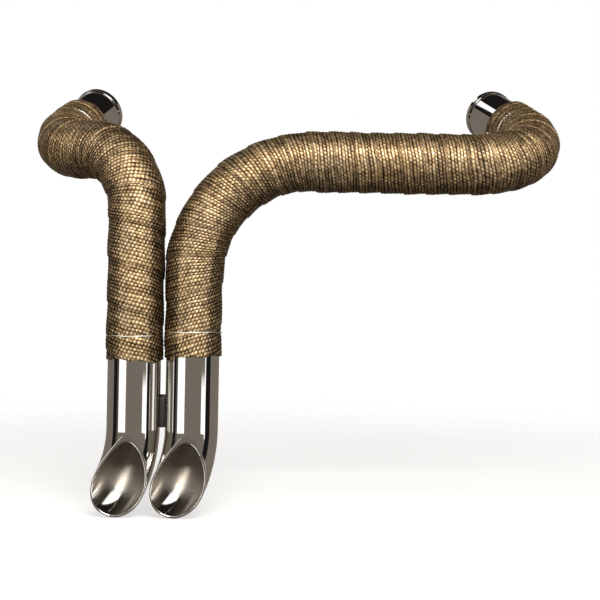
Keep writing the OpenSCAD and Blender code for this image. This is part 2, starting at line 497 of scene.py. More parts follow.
def weld_material(sizes):
    """Weld metal, straw and blue where the heat has tinted it."""
    made, g = material("weld_metal")
    heat = g.noise(180.0, 2.0)
    tint = g.node(
        "ShaderNodeValToRGB",
        {"stops": [
            (0.3, tuple(sizes.steel)), (0.5, (0.34, 0.24, 0.13, 1.0)),
            (0.62, (0.16, 0.15, 0.24, 1.0)), (0.8, shade(sizes.steel, 0.7)),
        ]},
        {"Fac": heat},
    )
    grain = g.noise(1400.0, 2.0)
    g.surface(
        Base_Color=tint,
        Metallic=0.9,
        Roughness=0.28 + grain * 0.2,
        Normal=g.bump(grain, 0.03 * MM),
    )
    return made


# ---- Sizes and colours ------------------------------------------------------------------


def length(name, default, description):
    return FloatProperty(
        name=name, default=default, description=description, unit="LENGTH", precision=5
    )


def spacings(name, default, places):
    description = "Distance between %s at the wrap's foot, the main bend, the %s and the port"
    return FloatVectorProperty(
        name=name, default=default, size=4, unit="LENGTH", description=description % places
    )


def share(name, default, description, high=1.0):
    return FloatProperty(
        name=name, default=default, min=0.0, max=high, subtype="FACTOR", description=description
    )


def power(name, default, description):
    return FloatProperty(
        name=name, default=default, min=0.0, unit="POWER", description=description
    )


def count(name, default, low, description):
    return IntProperty(name=name, default=default, min=low, description=description)


def colour(name, default, description):
    return FloatVectorProperty(
        name=name, default=default + (1.0,), size=4, min=0.0, max=1.0, subtype="COLOR",
        description=description,
    )


class TubeSizes(PropertyGroup):
    """Chrome tubes, tips and collars."""

    chrome: colour("Chrome", (0.80, 0.775, 0.745), "Colour of the chrome plate")
    bore: colour("Bore", (0.62, 0.56, 0.48), "Colour of the unpolished steel deep in the bore")
    polish: share("Polish", 0.025, "Roughness of the plate", high=0.5)
    waviness: length("Waviness", 0.04 * MM, "Height of the tube's slight waviness")
    rim: length("Rim bevel", 0.45 * MM, "Bevel polished on the slash-cut edge")
    columns: count("Columns", 144, 48, "Faces round a tube")


class WrapSizes(PropertyGroup):
    """Woven tape round the pipes."""

    step: length("Edge step", 0.8 * MM, "Height of a turn's free edge above the turn under it")
    rib: length("Rib height", 0.36 * MM, "Height of a rib of yarn above the gap beside it")
    bead: length("Bead height", 0.14 * MM, "Rise of a rib where a cross thread passes under it")
    proud: length("Proud", 0.4 * MM, "How far the highest ribs stand outside the layers' radius")
    wander: length("Wander", 0.7 * MM, "How far ribs and edges stray from a true helix")
    # Holes sets a painted shade: every other bead is darkened towards the gap colour.
    holes: share("Holes", 0.8, "Darkness between the beads of a rib")
    ribs: count("Ribs", 12, 4, "Ribs in the whole width of the tape")
    rib_pitch: spacings("Rib spacing", (0.0036, 0.0029, 0.0029, 0.0027), ("ribs", "run"))
    front_turns: spacings("Front turns", (0.043, 0.029, 0.0185, 0.018), ("turns", "run"))
    rear_turns: spacings("Rear turns", (0.044, 0.030, 0.020, 0.0175), ("turns", "link"))
    columns: count("Columns", 96, 30, "Cross threads in each turn, an even number")
    # Gap is painted shade: the near-black colour given deep between the ribs and beads.
    gap: colour("Gap", (0.009, 0.006, 0.0035), "Colour deep between the ribs")
    yarn: colour("Yarn", (0.31, 0.22, 0.13), "Colour of the yarn")
    # Crest is the pale end of the yarn colours. The rib tops reach it where the painted highlight
    # on the front-facing side lifts them.
    crest: colour("Crest", (0.76, 0.62, 0.43), "Colour where the yarn is rubbed bright")
    gold: colour("Gold", (0.85, 0.62, 0.22), "Gold cast of some patches")


class TieSizes(PropertyGroup):
    """Wires that tie the ends of the wrap."""

    wire: colour("Wire", (0.86, 0.83, 0.76), "Colour of the wire")
    twist: length("Twist", 14 * MM, "Length of the twisted ends")
    lay: length("Lay", 4.2 * MM, "Length of one turn of the twist")


class BracketSizes(PropertyGroup):
    """Bracket between the tails and its welds."""

    # Steel is a dark plated tone that also paints the shade and dark reflections the strap has
    # between the tails.
    steel: colour("Steel", (0.16, 0.155, 0.15), "Colour of the plated steel")
    edge: length("Edge round", 0.6 * MM, "Round on the plates' edges")
    hole: length("Bolt hole", 10.5 * MM, "Diameter of the bolt hole")
    ripple: length("Ripple", 2.1 * MM, "Distance between the ripples of a weld")
    bead: length("Bead", 1.9 * MM, "Radius of a weld bead")


class StageSizes(PropertyGroup):
    """Floor, lights and camera."""

    floor: colour("Floor", (0.86, 0.855, 0.85), "Colour of the floor")
    wall: colour("Room", (0.21, 0.185, 0.155), "Colour of the room that the chrome mirrors")
    floor_radius: length("Floor radius", 1.1, "Radius at which the floor has faded out")
    key: power("Key light", 14.0, "Power of the soft light above the camera")
    sheet: power("Sheet", 33.0, "Power of the wide light that only the tape and the wires get")
    side: power("Side lights", 2.6, "Power of each light beside the head bends")
    lens: FloatProperty(
        name="Lens", default=71.3, min=10.0, unit="CAMERA",
        description="Focal length for a 36 mm sensor",
    )
    distance: length("Camera distance", 1.0, "Distance from the camera to the plane of the tails")
    roll: FloatProperty(
        name="Roll", default=math.radians(1.1), subtype="ANGLE",
        description="Turn of the camera about its own axis",
    )


# ---- Pieces -----------------------------------------------------------------------------


def round_angles(count):
    return np.arange(count) * 2 * math.pi / count


def cut_plane(tail_x):
    """A point on the slash cut of a tip and the direction that the removed side lies in."""
    turn = Matrix.Rotation(math.radians(-TIP["cut_turn"]), 3, "Z")
    lean = Matrix.Rotation(math.radians(TIP["cut_lean"]), 3, "X")
    away = np.array(turn @ lean @ Vector((0, -1, 0)))
    middle = (FRONT_TAIL[0] + FRONT_TAIL[1]) / 2
    return np.array([tail_x, middle.y, FRONT_TAIL[0].z - TIP["cut_drop"]]), away


def slash_ends(route, start, angles, radius, plane):
    """Distance along the route at which each line of a tube's surface meets the slash cut."""
    point, away = plane

    def past(s, a):
        return (route.surface(s, a, np.full_like(s, radius)) - point) @ away > 0

    grid = np.linspace(start, route.length, 500)
    first = np.argmax(past(*np.meshgrid(grid, angles)), axis=1)
    low, high = grid[np.maximum(first - 1, 0)], grid[first]
    for _ in range(30):
        middle = (low + high) / 2
        beyond = past(middle, angles)
        low, high = np.where(beyond, low, middle), np.where(beyond, middle, high)
    return low


def build_tailpipe(pipe, sizes, chrome):
    """A tail and its turned-out, slash-cut tip as one length of tube."""
    low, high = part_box(pipe["name"] + "_tail")
    middle = (low + high) / 2
    tall = high.z - low.z
    route = Route(
        (middle.x, middle.y, high.z), (1, 0, 0), (0, 0, -1),
        [("straight", tall), ("bend", TIP["clr"], TIP["angle"], 180 - TIP["outward"])],
    )
    angles = round_angles(sizes.columns)
    plane = cut_plane(middle.x)
    bent = np.linspace(0.0, 1.0, 80)[1:]
    spread = bent * (2 - bent) * 0.35 + bent * 0.65  # closer rows towards the cut
    rows, radii, deep = [], [], []

    def add(s, radius, depth=0.0):
        rows.append(s)
        radii.append(np.full_like(s, radius))
        deep.append(np.zeros_like(s) + depth)

    def wall(radius):
        ends = slash_ends(route, tall, angles, radius, plane)[:, None] - sizes.rim
        straight = np.repeat(np.linspace(0.0, tall, 16)[None], len(angles), 0)
        return np.concatenate([straight, tall + (ends - tall) * spread[None]], 1)

    add(wall(TUBE_R), TUBE_R)
    for radius, back in (
        (TUBE_R - sizes.rim * 0.3, sizes.rim * 0.3), (TUBE_R - sizes.rim, 0.0),
        (BORE_R + sizes.rim, 0.0), (BORE_R + sizes.rim * 0.3, sizes.rim * 0.3),
    ):
        add(slash_ends(route, tall, angles, radius, plane)[:, None] - back, radius)
    inner = wall(BORE_R)[:, ::-1]
    add(inner, BORE_R, 1 - ease(40 * MM, 54 * MM, inner - tall))  # polished near the cut only
    s, r = np.concatenate(rows, 1), np.concatenate(radii, 1)
    points = route.surface(s, np.repeat(angles[:, None], s.shape[1], 1), r)
    name = pipe["name"] + "_tailpipe"
    piece = looped(name, points, {"deep": np.concatenate(deep, 1).ravel()}, sharp=50)
    finish_piece(piece, chrome, "tube_chrome", pipe["name"] + "_tail", pipe["name"] + "_tip")


def turned(name, route, s, radius, deep, columns):
    """Object from a closed outline, given as distances along a route and radii, swept round it."""
    angles = round_angles(columns)
    grid_s, grid_a = np.meshgrid(s, angles)
    points = route.surface(grid_s, grid_a, np.repeat(radius[None], columns, 0))
    return looped(name, points, {"deep": np.tile(deep, columns)}, sharp=50)


def build_head_tube(pipe, sizes, chrome):
    """The head bend and the stub that carries the port collar."""
    route = ROUTES[pipe["name"]]
    bend, stub = route.parts[3], route.parts[4]
    line = np.concatenate([
        np.linspace(bend["from"], stub["from"], 48),
        np.linspace(stub["from"], route.length - COLLAR_LENGTH, 14)[1:],
    ])
    s = np.concatenate([line, line[::-1]])
    radius = np.repeat([TUBE_R, BORE_R], len(line))
    deep = np.repeat([0.0, 1.0], len(line))
    piece = turned(pipe["name"] + "_head_tube", route, s, radius, deep, sizes.columns)
    finish_piece(piece, chrome, "tube_chrome", pipe["name"] + "_head_bend")


def build_collar(pipe, sizes, chrome):
    """The port collar: a ring with a well-rounded leading edge and a blended weld toe behind."""
    route = ROUTES[pipe["name"]]
    face, back, inner_round = route.length, route.length - COLLAR_LENGTH, 0.4 * MM
    foot = TUBE_R + 0.05 * MM
    profile = [(BORE_R, back)]
    for t in np.linspace(0, 1, 12):
        profile.append((foot + (COLLAR_R - foot) * float(ease(0, 1, t)), back + COLLAR_TOE * t))
    for a in np.linspace(0, math.pi / 2, 14):
        profile.append((
            COLLAR_R - COLLAR_LEAD * (1 - math.cos(a)), face - COLLAR_LEAD * (1 - math.sin(a))
        ))
    for a in np.linspace(0, math.pi / 2, 5):
        profile.append((
            BORE_R + inner_round * (1 - math.sin(a)), face - inner_round * (1 - math.cos(a))
        ))
    radius, s = np.array(profile).T
    inside = (radius <= BORE_R + 0.01 * MM).astype(float)
    piece = turned(pipe["name"] + "_collar_ring", route, s, radius, inside, sizes.columns)
    finish_piece(piece, chrome, "collar_chrome", pipe["name"] + "_port_collar")


def course_rows(ribs):
    """Rows of points across one turn: place in the free edge, ribs past it, rise of the tape."""
    rows = [(0.0, -1.0, 0.0), (0.004, -1.0, 0.7), (0.02, -1.0, 1.0), (FREE_EDGE, 0.0, 1.0)]
    for rib in range(ribs):
        for part in (0.25, 0.5, 0.75, 1.0):
            rows.append((FREE_EDGE, rib + part, 1.0))
    return np.array(rows[:-1])


def highlight_mask(normal):
    """Mask of a painted highlight: 1 where the tape faces the front and the lights above it, 0
    elsewhere.
    """
    bearing = np.degrees(np.arctan2(normal[..., 0], -normal[..., 1]))
    height = np.degrees(np.arcsin(np.clip(normal[..., 2], -1, 1)))
    level = np.hypot(normal[..., 0], normal[..., 1])
    sideways = ease(-34, -20, bearing) * (1 - ease(30, 44, bearing))
    return (sideways * level + (1 - level)) * ease(-26, -12, height) * (1 - ease(38, 58, height))


def wrap_places(pipe):
    """Distances along the pipe to the wrap's foot, the main bend's two ends and the wrap's top."""
    name, route = pipe["name"], ROUTES[pipe["name"]]
    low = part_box(name + "_wrap")[0].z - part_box(name + "_tail")[0].z
    high = route.length - COLLAR_LENGTH - pipe["bare"]
    return [low, route.parts[1]["from"], route.parts[2]["from"], high]


def wind(places, turns, rib_pitch, seed):
    """Distances along the pipe, with the turns wound and the ribs that a turn shows at each."""
    grid = np.linspace(places[0] - 0.1, places[-1] + 0.1, 4000)
    even = np.interp(grid, places, turns)
    uneven = 0.05 * np.sin(grid / 0.021 + seed) + 0.04 * np.sin(grid / 0.0087 + 2 * seed)
    pitch = even * (1 + uneven)
    wound = np.concatenate([[0], np.cumsum(np.diff(grid) / ((pitch[1:] + pitch[:-1]) / 2))])
    return grid, wound, even / np.interp(grid, places, rib_pitch)


def cut_ends(places, hand, angles, seed):
    """The ragged ends of the wrap round the pipe, the lower one sagging where the tape starts."""
    ragged = 0.7 * MM * np.sin(3 * angles + seed) + 0.5 * MM * np.sin(7 * angles + 2 * seed)
    lowest = math.radians(200 if hand > 0 else 330)
    aside = (angles - lowest + math.pi) % (2 * math.pi) - math.pi
    sag = 2.0 * MM * np.exp(-((aside / 0.5) ** 2))
    return places[0] + ragged - sag, places[-1] + 0.6 * ragged


def tape_faces(below, above, per_turn, hand):
    """Faces between the columns of the tape, whose last column meets the first a turn later."""
    columns, rows = below.shape
    faces, row = [], np.arange(rows - 1)
    for i in range(columns):
        next_row = row + (0 if i < columns - 1 else hand * per_turn)
        keep = (next_row >= 0) & (next_row < rows - 1)
        j, j2, i2 = row[keep], next_row[keep], (i + 1) % columns
        flat = np.zeros(len(j), bool)
        for side in (below, above):
            flat |= side[i, j] & side[i, j + 1] & side[i2, j2] & side[i2, j2 + 1]
        j, j2 = j[~flat], j2[~flat]
        corners = [i * rows + j, i2 * rows + j2, i2 * rows + j2 + 1, i * rows + j + 1]
        faces += np.stack(corners, -1).tolist()
    return faces


def lining(route, angles, bottom, top, rim):
    """Points of the sleeve that closes the wrap against the tube, column by column."""
    along = np.linspace(0, 1, 70)[None]
    s = bottom[:, None] + (top - bottom)[:, None] * along
    s = np.concatenate([bottom[:, None], s, top[:, None]], 1)
    radius = np.full_like(s, TUBE_R + 0.03 * MM)
    radius[:, 0] = radius[:, -1] = rim
    return route.surface(s, np.repeat(angles[:, None], s.shape[1], 1), radius)


def build_wrap(pipe, hand, turns, sizes, cloth, seed):
    """The tape wound round a pipe, each turn's free edge lying over the turn before it."""
    route, places = ROUTES[pipe["name"]], wrap_places(pipe)
    low, tail_end, run_start, high = places
    grid, wound, shown = wind(places, turns, sizes.rib_pitch, seed)
    random = np.random.default_rng(seed)
    angles = round_angles(sizes.columns)
    around = angles[:, None]

    # every turn has the same rows, numbered from the wrap's foot
    table = course_rows(sizes.ribs)
    first = int(np.floor(np.interp(low, grid, wound))) - 2
    last = int(np.ceil(np.interp(high, grid, wound))) + 2
    number = np.repeat(np.arange(first, last), len(table))[None]
    selvage, across, lifted = (np.tile(column, last - first)[None] for column in table.T)
    turn = hand * around / (2 * math.pi)
    ribs = np.clip(np.interp(number + turn, wound, shown), 4.0, sizes.ribs)
    inside = np.minimum(across, ribs)
    fraction = np.where(across > 0, FREE_EDGE + (1 - FREE_EDGE) * inside / ribs, selvage)
    crest = np.where(across > 0, np.abs(np.sin(math.pi * inside)) ** 0.7, 0.3)
    crest = np.where((lifted > 0) & (across < 0), 0.9, crest)
    rib = np.ceil(np.maximum(across, 0)).astype(int)

    # each rib strays from the helix in its own way, and whole turns sway a little
    phase = random.random((3, sizes.ribs + 2)) * 2 * math.pi
    unwound = 2 * math.pi * (number + turn)
    wander = 0.16 * np.sin(2.71 * unwound + phase[0, rib])
    wander = wander + 0.1 * np.sin(7.3 * unwound + phase[1, rib])
    wander = np.where(across > 0, wander, 0.0) * (1 - ease(0.9, 1.0, fraction))
    sway = 0.5 * np.sin(1.93 * unwound + seed) + 0.3 * np.sin(5.17 * unwound)
    s = np.interp(number + fraction + turn, wound, grid) + sizes.wander * (wander * 2.5 + sway)
    bottom, top = cut_ends(places, hand, angles, seed)
    below, above = s < bottom[:, None], s > top[:, None]
    s = np.clip(s, bottom[:, None], top[:, None])
    ended = below | above

    # a yarn's thickness differs from rib to rib, and more from bead to bead
    strand = (number - first) * (sizes.ribs + 2) + rib
    thread = 0.35 * random.random(strand.max() + 1)[strand]
    thread = thread + 0.65 * random.random((sizes.columns, strand.max() + 1))[:, strand[0]]

    # height of the tape: layers, free edge, ribs squeezed inside a bend, beads, loose folds, ties
    outside = TUBE_R + sizes.proud + np.interp(
        s, [tail_end - 0.012, tail_end + 0.012, run_start - 0.012, run_start + 0.012],
        [LAYER, 1.5 * LAYER, 1.5 * LAYER, 2 * LAYER],
    )
    _, n, b, _, curve = route.frames(s)
    normal = n * np.cos(around)[..., None] + b * np.sin(around)[..., None]
    inward = (curve[..., 0] * np.cos(around) + curve[..., 1] * np.sin(around)) * TUBE_R
    bunch = np.clip(1 + 1.6 * inward, 0.6, 2.0)
    slope = np.where(lifted > 0, (1 - ease(0.12, 0.96, fraction)) * np.maximum(lifted, 0.7), 0.0)
    alternate = np.where((np.arange(sizes.columns)[:, None] + rib) % 2, 1.0, -1.0)
    weave = sizes.bead * alternate * (crest > 0.5) * (0.6 + 0.8 * thread)
    loose = 0.22 * MM * np.sin(s / 0.0123 + 2.3 * np.sin(around) + seed)
    loose = loose + 0.12 * MM * np.sin(s / 0.0051 + 3 * around)
    radius = outside - sizes.step * (1 - slope) - sizes.rib * bunch * (1 - crest) + weave + loose
    for tie in (low + TIE_RISE, route.parts[4]["from"] + TIE_WIRE):
        radius = radius - 0.5 * MM * np.exp(-(((s - tie) / (1.7 * MM)) ** 2))
    rim = TUBE_R + 0.9 * MM
    radius = np.where(ended, rim, np.maximum(radius, TUBE_R + 0.3 * MM))

    outer = route.surface(s, np.repeat(around, s.shape[1], 1), radius).reshape(-1, 3)
    inner = lining(route, angles, bottom, top, rim)
    faces = tape_faces(below, above, len(table), hand)
    faces += ring_faces(sizes.columns, inner.shape[1], closed=False, first=len(outer))
    inner = inner.reshape(-1, 3)

    # Painted shade: every other bead is darkened by the holes share, fully on the tail and at 0.55
    # from the run on.
    holes = np.interp(s, places, [sizes.holes, sizes.holes, sizes.holes * 0.55, sizes.holes * 0.55])
    lit_crest = np.where(alternate > 0, crest, crest * (1 - holes))
    values = {
        "crest": np.where(ended, 0.3, lit_crest),
        "thread": thread,
        # Painted shadow under the overlapping free edge of each turn.
        "edge": np.where((across < 0) & (lifted == 0), 1.0, 0.0) + 0 * s,
        # Painted highlight on the tape that faces the front: full on the tail, weaker on the run
        # and the head.
        "rubbed": highlight_mask(normal) * np.interp(s, places, [1.0, 1.0, 0.2, 0.4]),
    }
    pad = np.zeros(len(inner))
    attributes = {key: np.concatenate([value.ravel(), pad]) for key, value in values.items()}
    verts = np.concatenate([outer, inner])
    piece = mesh_piece(pipe["name"] + "_heat_wrap", verts, faces, attributes, merge=0.001 * MM)
    finish_piece(piece, cloth, "heat_wrap", pipe["name"] + "_wrap")


def build_tie(name, route, s, sleeve, angle, sizes, wire, node):
    """A wire drawn tight round the wrap, its ends twisted together and laid along the pipe."""
    columns, sides = 144, 12
    radius = sleeve - 0.32 * TIE_WIRE
    around = round_angles(columns)
    wander = 0.25 * MM * np.sin(2 * around + s * 40) + 0.12 * MM * np.sin(5 * around)
    ring = []
    for side in round_angles(sides):
        r = np.full(columns, radius + TIE_WIRE / 2 * math.cos(side))
        ring.append(route.surface(s + wander + TIE_WIRE / 2 * math.sin(side), around, r))
    solids = [(np.stack(ring, 1).reshape(-1, 3), ring_faces(columns, sides))]
    along = np.linspace(0, 1, 60)
    for strand in (0, math.pi):
        spin = along * sizes.twist / sizes.lay * 2 * math.pi + strand
        wide = TIE_WIRE * 0.52
        lift = sleeve + 0.8 * TIE_WIRE + wide * np.cos(spin)
        shift = wide * np.sin(spin) / sleeve
        line = route.surface(s + TIE_WIRE * 0.3 + along * sizes.twist, angle + shift, lift)
        solids.append(rod(line, TIE_WIRE * 0.46, 10))
    finish_piece(joined(name, solids), wire, "tie_wire", node)


def plate_object(name, bm):
    """Object from a finished bmesh, smooth but for its flat faces' edges."""
    mesh = bpy.data.meshes.new(name)
    bm.to_mesh(mesh)
    bm.free()
    mesh.shade_smooth()
    mesh.set_sharp_from_angle(angle=math.radians(32))
    piece = bpy.data.objects.new(name, mesh)
    bpy.context.scene.collection.objects.link(piece)
    return piece


def build_web(sizes, steel):
    """The strap that ties the two tails together, with rounded edges."""
    low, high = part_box("bracket_web")
    middle, size = (low + high) / 2, high - low
    bm = bmesh.new()
    bmesh.ops.create_cube(bm, size=1.0)
    placed = Matrix.Translation(middle) @ Matrix.Diagonal((*size, 1.0))
    bmesh.ops.transform(bm, matrix=placed, verts=bm.verts)
    bmesh.ops.bevel(
        bm, geom=bm.edges[:], offset=sizes.edge, segments=4, profile=0.5, affect="EDGES"
    )
    finish_piece(plate_object("bracket_strap", bm), steel, "bracket_steel", "bracket_web")


def build_tab(sizes, steel):
    """The tab: a round-headed upright with its bolt hole, on a foot behind the strap."""
    low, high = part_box("bracket_tab")
    half, ledge, soft = high.x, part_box("bracket_web")[1].z, sizes.edge
    crown = [(half * math.cos(a), half * math.sin(a)) for a in np.linspace(0, math.pi, 49)]
    outline = np.array([(low.x, ledge), (low.x, low.z), (half, low.z)] + crown + [(-half, ledge)])
    ahead = np.roll(outline, -1, 0) - outline
    ahead /= np.linalg.norm(ahead, axis=1)[:, None]
    out_next = np.stack([ahead[:, 1], -ahead[:, 0]], 1)
    out = out_next + np.roll(out_next, 1, 0)
    out /= (out * out_next).sum(1)[:, None]
    ring = np.array([(math.cos(a), math.sin(a)) for a in round_angles(64)])
    turns = np.linspace(0, math.pi / 2, 5)
    inset, depth = soft * (1 - np.sin(turns)), soft * (1 - np.cos(turns))
    section = list(zip(inset, low.y + depth)) + list(zip(inset, high.y - depth))[::-1]
    bm = bmesh.new()
    caps = []
    for shape in ("outline", "hole"):
        loops = []
        for inset, y in section:
            flat = outline - inset * out if shape == "outline" else ring * (sizes.hole / 2 + inset)
            loops.append([bm.verts.new((x, y, z)) for x, z in flat])
        for one, two in zip(loops, loops[1:]):
            for k in range(len(one)):
                bm.faces.new((one[k - 1], one[k], two[k], two[k - 1]))
        caps.append((loops[0], loops[-1]))
    for end in (0, 1):
        edges = []
        for loops in caps:
            loop = loops[end]
            edges += [bm.edges.get((loop[k - 1], loop[k])) for k in range(len(loop))]
        bmesh.ops.triangle_fill(bm, use_beauty=True, use_dissolve=False, edges=edges)
    bmesh.ops.recalc_face_normals(bm, faces=bm.faces)
    finish_piece(plate_object("bracket_tab_plate", bm), steel, "bracket_steel", "bracket_tab")


def build_welds(sizes, metal):
    """Four rippled fillet beads: two on the tails and two on the tab."""
    low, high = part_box("bracket_web")
    tail_y = (FRONT_TAIL[0].y + FRONT_TAIL[1].y) / 2
    rings = int((high.z - low.z) / (0.25 * MM))
    z = np.linspace(low.z + 0.8 * MM, high.z - 0.8 * MM, rings)
    phase = (z - low.z) / sizes.ripple % 1.0
    swell = 0.86 + 0.14 * np.sqrt(1 - (2 * phase - 1) ** 2)
    ends = np.minimum(ease(0, 1.6 * MM, z - low.z), ease(0, 1.6 * MM, high.z - z))
    radii = sizes.bead * swell * (0.45 + 0.55 * ends)
    solids = []
    for side, edge in ((-1, low.x), (1, high.x)):
        on_tail = (edge + side * 0.75 * MM, tail_y + 6.4 * MM)
        on_tab = (edge + side * 0.3 * MM, high.y - 0.3 * MM)
        for x, y in (on_tail, on_tab):
            wobble = 0.12 * MM * np.sin(z / 0.0031 + x * 900 + y * 500)
            solids.append(rod(np.stack([x + wobble, y - wobble, z], -1), radii, 14))
    beads = joined("bracket_weld_beads", solids)
    finish_piece(beads, metal, "bracket_steel", "bracket_welds")


# ---- Operators --------------------------------------------------------------------------


def once(name, make, *values):
    """The material of that name, made the first time that it is asked for."""
    return bpy.data.materials.get(name) or make(*values)


class DRAGPIPES_OT_tailpipes(Operator):
    """Build the tails with their turned-out, slash-cut tips"""

    bl_idname = "drag_pipes.tailpipes"
    bl_label = "Tailpipes"

    def execute(self, context):
        sizes = context.scene.drag_tube
        for pipe in (FRONT, REAR):
            build_tailpipe(pipe, sizes, once("polished_chrome", chrome_material, sizes))
        return {"FINISHED"}


class DRAGPIPES_OT_head_tubes(Operator):
    """Build the head bends with their stubs"""

    bl_idname = "drag_pipes.head_tubes"
    bl_label = "Head tubes"

    def execute(self, context):
        sizes = context.scene.drag_tube
        for pipe in (FRONT, REAR):
            build_head_tube(pipe, sizes, once("polished_chrome", chrome_material, sizes))
        return {"FINISHED"}


class DRAGPIPES_OT_collars(Operator):
    """Build the port collars"""

    bl_idname = "drag_pipes.collars"
    bl_label = "Port collars"

    def execute(self, context):
        sizes = context.scene.drag_tube
        for pipe in (FRONT, REAR):
            build_collar(pipe, sizes, once("polished_chrome", chrome_material, sizes))
        return {"FINISHED"}


class DRAGPIPES_OT_covered_tubes(Operator):
    """Give the tubes under the wrap their finish"""

    bl_idname = "drag_pipes.covered_tubes"
    bl_label = "Covered tubes"

    def execute(self, context):
        plain = once("mill_finish_tube", hidden_tube_material, context.scene.drag_tube)
        for node in ("front_runner", "front_main_bend", "rear_link_tube", "rear_main_bend"):
            tube = frame["nodes"][node]
            tube.data.materials.clear()
            tube.data.materials.append(plain)
        return {"FINISHED"}


class DRAGPIPES_OT_wraps(Operator):
    """Wind the heat wrap round both pipes"""

    bl_idname = "drag_pipes.wraps"
    bl_label = "Heat wraps"

    def execute(self, context):
        sizes = context.scene.drag_wrap
        cloth = once("woven_heat_wrap", wrap_material, sizes)
        build_wrap(FRONT, 1, sizes.front_turns, sizes, cloth, 3)
        build_wrap(REAR, -1, sizes.rear_turns, sizes, cloth, 8)
        return {"FINISHED"}


class DRAGPIPES_OT_ties(Operator):
    """Tie the ends of the wraps with wire"""

    bl_idname = "drag_pipes.ties"
    bl_label = "Tie wires"

    def execute(self, context):
        sizes = context.scene.drag_tie
        wire = once("stainless_tie_wire", wire_material, sizes)
        for pipe in (FRONT, REAR):
            name, route = pipe["name"], ROUTES[pipe["name"]]
            lower = wrap_places(pipe)[0] + TIE_RISE
            upper = route.parts[4]["from"] + TIE_WIRE
            inner = math.radians(pipe["main_turn"] + pipe["head_turn"])
            for node, s, sleeve, angle in (
                (name + "_lower_tie", lower, TUBE_R + LAYER, math.pi / 2),
                (name + "_upper_tie", upper, TUBE_R + 2 * LAYER - 0.2 * MM, inner),
            ):
                build_tie(node + "_wire", route, s, sleeve, angle, sizes, wire, node)
        return {"FINISHED"}


class DRAGPIPES_OT_bracket(Operator):
    """Build the strap and the tab of the bracket"""

    bl_idname = "drag_pipes.bracket"
    bl_label = "Bracket"

    def execute(self, context):
        sizes = context.scene.drag_bracket
        steel = once("plated_bracket_steel", bracket_material, sizes)
        build_web(sizes, steel)
        build_tab(sizes, steel)
        return {"FINISHED"}


class DRAGPIPES_OT_welds(Operator):
    """Lay the weld beads of the bracket"""

    bl_idname = "drag_pipes.welds"
    bl_label = "Weld beads"

    def execute(self, context):
        sizes = context.scene.drag_bracket
        build_welds(sizes, once("weld_metal", weld_material, sizes))
        return {"FINISHED"}


def room_world(sizes):
    """The studio that the chrome mirrors: a warm grey room with white cards and dark gaps.

    Bearings are counted from straight in front, to the right, and heights from level.
    """
    world = bpy.data.worlds.new("studio_room")
    bpy.context.scene.world = world
    g = Graph(world)
    way = g.node("ShaderNodeTexCoord", output="Generated")
    split = g.node("ShaderNodeSeparateXYZ", inputs={"Vector": way}).socket.node
    x, y, z = (Value(g, out) for out in split.outputs)

    def degrees(operation, *terms):
        return x._math(operation, *terms) * (180 / math.pi)

    bearing, over = degrees("ARCTAN2", x, y * -1.0), degrees("ARCTAN2", z, y * -1.0)
    height = degrees("ARCSINE", z)
    low = 1 - height.rise(34.0, 44.0)
    cards = 1 - height.rise(-2.6, -0.6)
    white = bearing.window(-59.0, -28.0, 1.5) + bearing.window(62.0, 65.0, 1.0)
    white = white + bearing.window(46.0, 63.0, 1.5) * (1 - height.rise(-4.4, -3.6))
    dark = bearing.window(66.5, 89.0, 1.5) + bearing.window(-88.0, -71.0, 2.0)
    dark = dark + bearing.window(-70.0, -62.0, 2.0) * 0.6
    high_white = over.window(52.0, 66.0, 1.5)
    high_dark = over.window(38.0, 50.0, 2.0) + over.window(69.0, 90.0, 3.0)
    behind = y.rise(0.1, 0.3)
    white = white * cards + high_white * (1 - low) * (1 - behind)
    card_behind = bearing.window(-150.0, -128.0, 1.0) * height.window(39.0, 50.0, 1.0)
    white = white + behind * card_behind
    dark = dark * low * (1 - behind) + high_dark * (1 - low) * (1 - behind)
    dark = dark + behind * height.window(31.0, 64.0, 2.0)
    base = g.mix(height.rise(-50.0, -8.0), shade(sizes.wall, 0.35), tuple(sizes.wall))
    dimmed = g.mix(dark, base, (0.012, 0.011, 0.011, 1.0))
    lit = g.mix(white, dimmed, (1.5, 1.5, 1.5, 1.0))
    room = g.node("ShaderNodeBackground", inputs={"Color": lit, "Strength": 1.0})
    paper = g.node("ShaderNodeBackground", inputs={"Color": (1.0, 1.0, 1.0, 1.0), "Strength": 1.0})
    seen = g.node("ShaderNodeLightPath", output="Is Camera Ray")
    both = g.node("ShaderNodeMixShader", inputs={0: seen, 1: room, 2: paper})
    g.node("ShaderNodeOutputWorld", inputs={"Surface": both})


def soft_light(name, place, target, size, power, colour_of, only=()):
    """An area light that the camera doesn't see, which can be kept to some pieces only."""
    data = bpy.data.lights.new(name, "AREA")
    data.shape, data.size, data.size_y = "RECTANGLE", size[0], size[1]
    data.energy, data.color = power, colour_of
    lamp = bpy.data.objects.new(name, data)
    lamp.location = place
    lamp.rotation_euler = (Vector(target) - Vector(place)).to_track_quat("-Z", "Y").to_euler()
    lamp.visible_camera = False
    bpy.context.scene.collection.objects.link(lamp)
    if only:
        lit = bpy.data.collections.new(name + "_receivers")
        for piece in only:
            lit.objects.link(piece)
        lamp.light_linking.receiver_collection = lit


